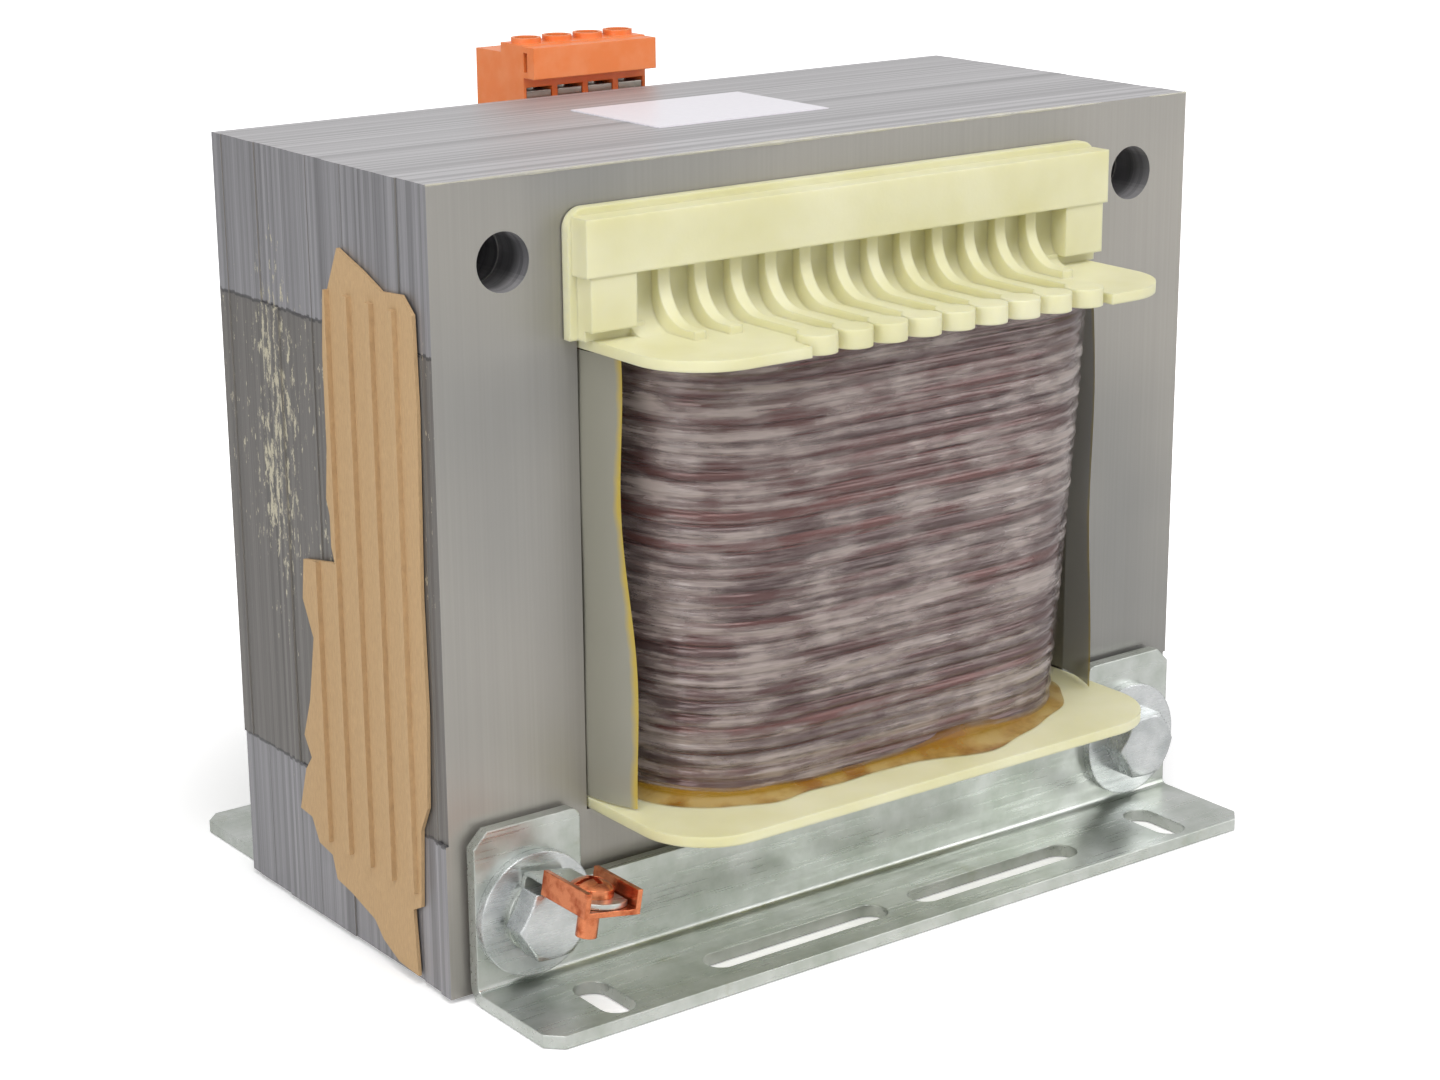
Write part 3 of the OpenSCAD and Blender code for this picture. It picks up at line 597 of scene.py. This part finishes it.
@dataclass(frozen=True)
class TornKraftBoard:
    """Corrugated kraft board torn down to its flutes.

    The run attribute holds how much of the outer liner is left (x) and how
    deep the slits are (y); the slits are painted dark brown as shade.
    """

    liner: str = "#cfb692"
    flute: str = "#b99a72"
    # dark brown, painted into the slits as shade
    painted_slit_shade: str = "#4a3320"

    def make(self) -> bpy.types.Material:
        """Mixes the finish: pale torn liner, browner flutes, loose fibres, painted shade in the
        slits.
        """
        r = Recipe("torn_kraft_board")
        run = r.add("Attribute", {}, out="Vector", attribute_name="run")
        parts = r.add("SeparateXYZ", {0: run})
        fibre = r.add("VectorMath", {0: r.mm, 1: (1.0, 2.2, 0.5)}, operation="MULTIPLY")
        fibre = r.add("TexNoise", {"Vector": fibre, "Scale": 1.1, "Detail": 6.0,
                                   "Roughness": 0.65})
        colour = r.add("Mix", {0: parts.node.outputs[0], 6: linear(self.flute),
                               7: linear(self.liner)}, out=2, data_type="RGBA")
        shade = r.add("MapRange", {"Value": fibre, 1: 0.25, 2: 0.75, 3: 0.86, 4: 1.1})
        colour = r.add("VectorMath", {0: colour, "Scale": shade}, operation="SCALE")
        # painted shade: the deeper the slits, the more the kraft is mixed to a dark brown
        colour = r.add("Mix", {0: parts.node.outputs[1], 6: colour, 7: linear(self.painted_slit_shade)},
                       out=2, data_type="RGBA")
        bump = r.add("Bump", {"Height": fibre, "Strength": 0.5, "Distance": 0.0004})
        return r.finish({"Base Color": colour, "Roughness": 0.86, "Normal": bump})


# --------------------------------------------------------------------------
# Sub-assemblies
# --------------------------------------------------------------------------


@dataclass
class LaminatedCore:
    """The stack of E and I laminations, its label and its varnish bead, whose pale colour is a
    painted highlight.
    """

    half_width: float = 90.0
    half_depth: float = 38.75
    top: float = 150.8
    bead: float = 0.9

    def build(self) -> None:
        """Dresses the laminations and the label, and lays the bead."""
        steel = RolledElectricalSteel().make()
        dress(steel, ["e_laminations_up", "e_laminations_down",
                      "i_laminations_top", "i_laminations_bottom"])
        dress(PaperBoard(Board.LABEL).make(), ["blank_label"])
        self.varnish_and_highlight_bead()

    def varnish_and_highlight_bead(self) -> None:
        """A thin run of varnish along the top front edge, coloured pale cream as a painted
        highlight on that edge.

        Across the edge it is part of a circle; its radius swells along X.
        """
        x = np.linspace(-self.half_width, self.half_width, 260)
        turn = np.linspace(-0.25 * math.pi, 1.25 * math.pi, 9)
        size = self.bead * (0.42 + 0.22 * swell(x * 0.11, x * 0 + 1, 3.0))
        size = np.clip(size, 0.12, None)[:, None]
        y = -self.half_depth + 0.1 - size * 0.6 * np.cos(turn)[None, :] * -1
        z = self.top - 0.12 + size * 0.75 * np.sin(turn)[None, :]
        grid = np.stack([np.broadcast_to(x[:, None], y.shape), y, z], axis=-1)
        # the pale cream colours are a painted highlight along the edge; the glassy bead itself is
        # varnish
        surface("varnish_and_highlight_bead", grid, ImpregnatingVarnish("#cfccc0", "#bdb8a4").make())


@dataclass
class Winding:
    """The outer winding's turns, the film round them and the slot liners.

    A turn's plan is a superellipse |x/a|^5 + |y/b|^5 = 1 whose half-sizes
    a and b grow from the lower flange to the upper one.
    """

    base: float = 33.5
    height: float = 84.7
    half_x: float = 53.8
    half_y: float = 64.6
    lost_x: float = 3.0
    lost_y: float = 6.0
    power: float = 5.0
    turns: int = 32
    columns: int = 300
    rows_per_turn: int = 8

    def plan(self, count: int) -> tuple[np.ndarray, np.ndarray, np.ndarray]:
        """The top turn's plan, its outward normals and its length so far.

        Args:
            count: how many points, evenly spaced along the wire.

        Returns:
            Points, unit normals and arc length, all in millimetres.
        """
        angle = np.linspace(0, 2 * math.pi, 4001)
        cos, sin = np.cos(angle), np.sin(angle)
        x = self.half_x * np.sign(cos) * np.abs(cos) ** (2 / self.power)
        y = self.half_y * np.sign(sin) * np.abs(sin) ** (2 / self.power)
        length = np.concatenate([[0], np.cumsum(np.hypot(np.diff(x), np.diff(y)))])
        at = np.linspace(0, length[-1], count, endpoint=False)
        px, py = np.interp(at, length, x), np.interp(at, length, y)
        nx = np.sign(px) * np.abs(px / self.half_x) ** (self.power - 1) / self.half_x
        ny = np.sign(py) * np.abs(py / self.half_y) ** (self.power - 1) / self.half_y
        norm = np.hypot(nx, ny)
        return np.stack([px, py], -1), np.stack([nx / norm, ny / norm], -1), at

    def shell(self, height: np.ndarray, out: np.ndarray, count: int) -> np.ndarray:
        """Carries the plan up the winding, moved out along its normals.

        Args:
            height: rows by columns heights above the lower end, in mm.
            out: rows by columns distances outwards, in mm.
            count: columns.

        Returns:
            Rows by columns by 3 points.
        """
        plan, normal, _ = self.plan(count)
        lost = 1 - np.clip(height / self.height, 0, 1)
        wide = 1 - lost * self.lost_x / self.half_x
        deep = 1 - lost * self.lost_y / self.half_y
        x = plan[None, :, 0] * wide + normal[None, :, 0] * out
        y = plan[None, :, 1] * deep + normal[None, :, 1] * out
        return np.stack([x, y, self.base + height], axis=-1)

    def build(self) -> None:
        """Makes the turns, the film and the liners, and dresses the rest."""
        self.wound_turns()
        self.film()
        self.slot_liners()
        wire = EnamelledCopperWire().make()
        dress(wire, ["inner_winding", "lead_wires"])
        dress(PaperBoard(Board.KRAFT).make(), ["interwinding_insulation"])

    def wound_turns(self) -> None:
        """Turns of round wire, side by side and not quite level.

        A row at height h in its turn stands out by r - sqrt(r^2 - h^2) less
        than the crown; each turn sways by a slow field.
        """
        rows = self.turns * self.rows_per_turn + 1
        level = np.linspace(0, self.turns, rows)[:, None]
        _, _, arc = self.plan(self.columns)
        ring = arc / arc[-1] * 2 * math.pi
        pitch = self.height / self.turns
        inside = (level % 1.0) * 2 - 1
        crown = np.sqrt(np.clip(1 - (inside * 0.97) ** 2, 0.02, 1)) - 1
        turn = np.floor(np.minimum(level, self.turns - 0.01))
        own = np.sin(turn * 12.9898) * 0.22
        sway = swell(np.cos(ring)[None, :] * 1.4 + level * 0.23,
                     np.sin(ring)[None, :] * 1.4 + turn * 0.31, 5.0)
        ends = np.clip(np.minimum(level, self.turns - level), 0, 1)
        height = level * pitch + 0.42 * sway * ends
        out = crown * 1.15 + own + 0.12 * sway - 0.2
        grid = self.shell(height, out, self.columns)
        run = np.stack(np.broadcast_arrays(arc[None, :], turn + 0.5 + 0 * level, crown), -1)
        piece = surface("wound_turns", grid, EnamelledCopperWire().make(),
                        around=True, run=run)
        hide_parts("outer_winding")

    def film(self) -> None:
        """One wide film pulled round the turns, following them loosely."""
        columns, rows = 360, 150
        level = np.linspace(0.004, 0.996, rows)[:, None]
        _, _, arc = self.plan(columns)
        ring = arc / arc[-1] * 2 * math.pi
        turn = level * self.turns
        follow = 0.16 * np.cos(2 * math.pi * turn)
        loose = swell(np.cos(ring)[None, :] * 3.0 + level * 9, np.sin(ring)[None, :] * 3.0
                      - level * 17, 2.0)
        crease = swell(np.cos(ring)[None, :] * 9.0, np.sin(ring)[None, :] * 9.0
                       + level * 60, 8.0)
        out = 0.42 - follow + 0.14 * loose + 0.05 * crease + 0 * level
        height = level * self.height + 0 * out
        grid = self.shell(height, out, columns)
        run = np.stack(np.broadcast_arrays(arc[None, :], height, out), -1)
        piece = surface("insulating_film", grid, PolyesterFilm().make(),
                        around=True, run=run)
        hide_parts("outer_tape")

    def slot_liners(self) -> None:
        """The liner films between the winding and the outer legs.

        Each lies flat on its leg inside the core and curls in towards the
        winding beyond it: x = a - c s^2, with s the way past the core.
        """
        for side, name in ((-1, "left_slot_liner"), (1, "right_slot_liner")):
            level = np.linspace(0, 1, 60)[:, None]
            reach = np.linspace(-1, 1, 90)[None, :]
            free = 12.0 - 3.2 * level + 0.7 * np.sin(level * 9 + side)
            y = reach * (self_depth() + free)
            past = np.clip(np.abs(y) - self_depth() + 2, 0, None)
            x = 59.55 - 0.018 * past**2 + 0.12 * np.sin(level * 11)
            z = self.base + level * self.height + 0 * y
            edge = self_depth() + free - np.abs(y)
            run = np.stack(np.broadcast_arrays(edge, level * self.height, edge * 0), -1)
            grid = np.stack([side * x + 0 * y, y, z], -1)
            if side < 0:
                grid, run = grid[:, ::-1], run[:, ::-1]
            piece = surface(name, grid, FrostedFilm().make(), run=run)
            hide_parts("window_films")


def self_depth() -> float:
    """Half the depth of the core, in mm."""
    return LaminatedCore.half_depth


@dataclass
class Former:
    """The nylon former and the varnish that ran down onto its flange."""

    flange_top: float = 33.2

    def build(self, winding: Winding) -> None:
        """Dresses the former and pours the varnish.

        Args:
            winding: the winding that the varnish ran off.
        """
        nylon = NaturalNylon().make()
        dress(nylon, ["upper_flange", "lower_flange", "former_tube"])
        self.pool(winding)

    def pool(self, winding: Winding) -> None:
        """Varnish round the foot of the winding.

        Its plan is the lowest turn's; it climbs the turns a little and runs
        out over the flange by an uneven amount, as h = m (1 - s)^2 with s
        the share of that amount.
        """
        columns = 300
        share = np.linspace(0, 1, 12)[:, None]
        _, _, arc = winding.plan(columns)
        ring = arc / arc[-1] * 2 * math.pi
        uneven = swell(np.cos(ring) * 4.2, np.sin(ring) * 4.2, 6.0)[None, :]
        spread = np.clip(5.0 + 2.4 * uneven, 1.5, 9.0)
        climb = np.clip(2.0 + 0.9 * uneven, 0.6, 4.0)
        out = -0.8 + share * spread
        height = (self.flange_top - winding.base) + 0.12 + climb * (1 - share) ** 2
        grid = winding.shell(height, out, columns)
        surface("varnish_pool", grid[::-1], ImpregnatingVarnish().make(),
                around=True)


@dataclass
class Feet:
    """The two bent brackets and what clamps them to the core."""

    def build(self) -> None:
        """Dresses the brackets, bolts, nuts and washers."""
        sheet = PassivatedZinc("zinc_plated_sheet").make()
        bright = PassivatedZinc("zinc_plated_bolts", "#cfd1d1", "#a9adad", "#7d7c62", 0.25,
                                0.26, 0.0005).make()
        dress(sheet, ["front_bracket", "rear_bracket"])
        dress(bright, ["clamping_bolts", "clamping_nuts", "front_washers",
                       "rear_washers", "spring_washers"])
        board = PaperBoard(Board.PRESSBOARD).make()
        dress(board, ["insulating_washers", "bolt_sleeves"])


@dataclass
class EarthTerminal:
    """The tab behind the left bolt's head, its clamp and its screw."""

    def build(self) -> None:
        """Dresses the tab, the clamp and the screw."""
        dress(PassivatedZinc("zinc_plated_tab", stained=0.2).make(), ["earth_tab"])
        dress(CopperPlate().make(), ["earth_clamp", "earth_screw"])


@dataclass
class TerminalBlock:
    """The orange four-pole block behind the core."""

    def build(self) -> None:
        """Dresses the housing and its metal insides."""
        dress(MouldedPolyamide().make(), ["terminal_housing"])
        metal = PassivatedZinc("nickel_plated_terminals", "#c9c8c2", "#a5a39b", "#7d7c62",
                               0.1, 0.3, 0.0002).make()
        dress(metal, ["terminal_cages", "terminal_screws", "terminal_tags"])


@dataclass
class TornCardboard:
    """What is left of a packing corner, glued to the left side.

    Its solid comes from model.glb; here it is only given its finish.
    """

    side: float = -90.2
    thick: float = 1.6
    pitch: float = 7.9
    step: float = 0.4

    def build(self) -> None:
        """Dresses the torn sheet."""
        dress(TornKraftBoard().make(), ["cardboard_remnant"])


@dataclass
class Studio:
    """Plain floor, soft light, and the camera at the product's angle."""

    position: tuple[float, float, float] = (-0.34216, -0.46273, 0.23331)
    azimuth: float = 36.476
    elevation: float = 16.479
    roll: float = -0.4247
    lens: float = 73.333
    shadow_reach: tuple[float, float] = (90.0, 230.0)

    def build(self) -> None:
        """Sets floor, world, lamps and camera."""
        self.camera()
        self.world()
        self.floor()
        self.lamp("key_softbox", (-0.25, -0.55, 1.15), (0.9, 0.7), 11.0)
        self.lamp("left_softbox", (-1.2, -0.35, 0.55), (0.7, 0.9), 6.0)
        self.lamp("right_softbox", (1.0, -0.9, 0.6), (0.6, 0.9), 5.0)
        bpy.context.scene.view_settings.view_transform = "Standard"

    def camera(self) -> None:
        """Places the camera from its bearing: right, up and back columns."""
        az, el, roll = (math.radians(v) for v in (self.azimuth, self.elevation, self.roll))
        forward = np.array([math.sin(az) * math.cos(el), math.cos(az) * math.cos(el),
                            -math.sin(el)])
        right = np.array([math.cos(az), -math.sin(az), 0.0])
        up = np.cross(right, forward)
        turned = right * math.cos(roll) + up * math.sin(roll)
        upright = up * math.cos(roll) - right * math.sin(roll)
        data = bpy.data.cameras.new("camera")
        data.lens, data.sensor_width, data.sensor_fit = self.lens, 36.0, "HORIZONTAL"
        data.clip_start, data.clip_end = 0.01, 50.0
        camera = bpy.data.objects.new("camera", data)
        frame = np.eye(4)
        frame[:3, 0], frame[:3, 1], frame[:3, 2] = turned, upright, -forward
        frame[:3, 3] = self.position
        camera.matrix_world = Matrix(frame.tolist())
        bpy.context.scene.collection.objects.link(camera)
        bpy.context.scene.camera = camera

    def world(self) -> None:
        """A soft grey sky that lights, seen as white."""
        world = bpy.data.worlds.new("studio")
        bpy.context.scene.world = world
        world.use_nodes = True
        tree = world.node_tree
        tree.nodes.clear()
        path = tree.nodes.new("ShaderNodeLightPath")
        seen = tree.nodes.new("ShaderNodeMath")
        seen.operation = "MAXIMUM"
        tree.links.new(path.outputs["Is Camera Ray"], seen.inputs[0])
        tree.links.new(path.outputs["Is Glossy Ray"], seen.inputs[1])
        also = tree.nodes.new("ShaderNodeMath")
        also.operation = "MAXIMUM"
        tree.links.new(seen.outputs[0], also.inputs[0])
        tree.links.new(path.outputs["Is Transmission Ray"], also.inputs[1])
        strength = tree.nodes.new("ShaderNodeMapRange")
        strength.inputs[3].default_value = 0.42
        strength.inputs[4].default_value = 1.0
        tree.links.new(also.outputs[0], strength.inputs["Value"])
        back = tree.nodes.new("ShaderNodeBackground")
        tree.links.new(strength.outputs[0], back.inputs["Strength"])
        out = tree.nodes.new("ShaderNodeOutputWorld")
        tree.links.new(back.outputs[0], out.inputs["Surface"])

    def floor(self) -> None:
        """A wide pale floor that takes a shadow near the feet and fades to white."""
        mesh = bpy.data.meshes.new("floor")
        w = 6.0
        mesh.from_pydata([(-w, -w, 0), (w, -w, 0), (w, w, 0), (-w, w, 0)], [], [(0, 1, 2, 3)])
        r = Recipe("pale_floor")
        reach = r.add("VectorMath", {0: r.mm}, out=1, operation="LENGTH")
        fade = r.add("MapRange", {0: reach, 1: self.shadow_reach[0], 2: self.shadow_reach[1],
                                  3: 0.25, 4: 1.0}, interpolation_type="SMOOTHSTEP")
        seen = r.add("LightPath", {})
        glow = r.add("Math", {0: fade, 1: seen}, operation="MULTIPLY")
        r.finish({"Base Color": linear("#f4f4f4"), "Roughness": 0.8,
                  "Emission Color": linear("#ffffff"), "Emission Strength": glow})
        mesh.materials.append(r.material)
        floor = bpy.data.objects.new("floor", mesh)
        floor.location.z = -0.0002
        bpy.context.scene.collection.objects.link(floor)

    def lamp(self, name: str, at: tuple[float, float, float], size: tuple[float, float],
             power: float) -> None:
        """Hangs a rectangular softbox that faces the object.

        Args:
            name: the lamp's name.
            at: its place, in metres.
            size: its width and height, in metres.
            power: its power, in watts.
        """
        data = bpy.data.lights.new(name, "AREA")
        data.shape, data.size, data.size_y = "RECTANGLE", size[0], size[1]
        data.energy = power
        lamp = bpy.data.objects.new(name, data)
        aim = np.array([0.0, 0.0, 0.07]) - np.array(at)
        aim /= np.linalg.norm(aim)
        side = np.cross(aim, [0.0, 0.0, 1.0])
        side /= np.linalg.norm(side)
        frame = np.eye(4)
        frame[:3, 0], frame[:3, 1], frame[:3, 2] = side, np.cross(side, aim), -aim
        frame[:3, 3] = at
        lamp.matrix_world = Matrix(frame.tolist())
        bpy.context.scene.collection.objects.link(lamp)


def main() -> None:
    """Builds every sub-assembly in order."""
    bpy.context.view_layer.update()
    Studio().build()
    LaminatedCore().build()
    winding = Winding()
    winding.build()
    Former().build(winding)
    Feet().build()
    EarthTerminal().build()
    TerminalBlock().build()
    TornCardboard().build()


if __name__ == "__main__":
    logging.basicConfig(level=logging.INFO, format="%(name)s: %(message)s")
    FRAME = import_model()
    main()
